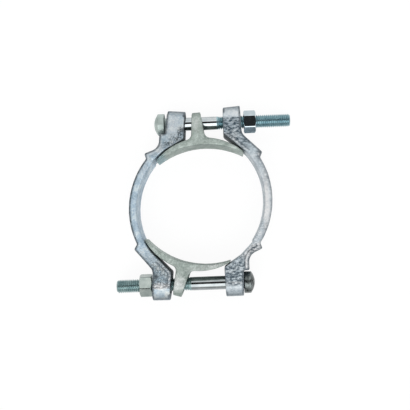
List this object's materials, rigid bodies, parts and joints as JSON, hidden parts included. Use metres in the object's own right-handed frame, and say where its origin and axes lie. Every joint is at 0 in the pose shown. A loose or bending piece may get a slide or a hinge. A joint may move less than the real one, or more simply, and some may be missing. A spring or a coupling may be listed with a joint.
{
  "type": "double bolt hose clamp",
  "caption": "Double bolt hose clamp: cast half-rings with lugs, curved bridging saddles, and bolts with hexagon nuts that draw the ring shut.",
  "frame": {"origin": "on the axis of the hose opening, in the plane that the clamp lies on", "axes": "+Z along the hose axis, away from the resting face; X along both bolts; +Y towards the bolt whose head is at -X"},
  "size_m": [0.1598, 0.1722, 0.0275],
  "materials": {
    "clamp_half_left": "zinc-plated rough cast iron, bluish white",
    "clamp_half_right": "zinc-plated rough cast iron, bluish white",
    "saddle_upper": "zinc-plated cast iron, greenish grey",
    "saddle_lower": "zinc-plated cast iron, greenish grey",
    "bolt_upper": "bright zinc-plated steel",
    "bolt_lower": "bright zinc-plated steel",
    "nut_upper": "bright zinc-plated steel",
    "nut_lower": "bright zinc-plated steel"
  },
  "bodies": {
    "left": {"clamp_half_left": "clamp_half_left", "bolt_upper": "bolt_upper"},
    "right": {"clamp_half_right": "clamp_half_right", "bolt_lower": "bolt_lower"},
    "upper_saddle": {"saddle_upper": "saddle_upper"},
    "lower_saddle": {"saddle_lower": "saddle_lower"},
    "upper_nut": {"nut_upper": "nut_upper"},
    "lower_nut": {"nut_lower": "nut_lower"}
  },
  "joints": [
    {"name": "half_slide", "type": "slide", "parent": "left", "child": "right", "axis": [1, 0, 0], "range_m": [0, 0.02]},
    {"name": "upper_nut_turn", "type": "hinge", "parent": "right", "child": "upper_nut", "pos_m": [0.0463, 0.07171, 0.01375], "axis": [1, 0, 0], "range_deg": [0, 4115]},
    {"name": "lower_nut_turn", "type": "hinge", "parent": "left", "child": "lower_nut", "pos_m": [-0.051, -0.07171, 0.01375], "axis": [-1, 0, 0], "range_deg": [0, 4115]},
    {"name": "upper_saddle_slide", "type": "slide", "parent": "left", "child": "upper_saddle", "axis": [1, 0, 0], "range_m": [0, 0.01]},
    {"name": "lower_saddle_slide", "type": "slide", "parent": "left", "child": "lower_saddle", "axis": [1, 0, 0], "range_m": [0, 0.01]}
  ],
  "couplings": [
    {"joint": "upper_nut_turn", "follows": "half_slide", "rad_per_m": 3590.4},
    {"joint": "lower_nut_turn", "follows": "half_slide", "rad_per_m": 3590.4},
    {"joint": "upper_saddle_slide", "follows": "half_slide", "ratio": 0.5},
    {"joint": "lower_saddle_slide", "follows": "half_slide", "ratio": 0.5}
  ]
}
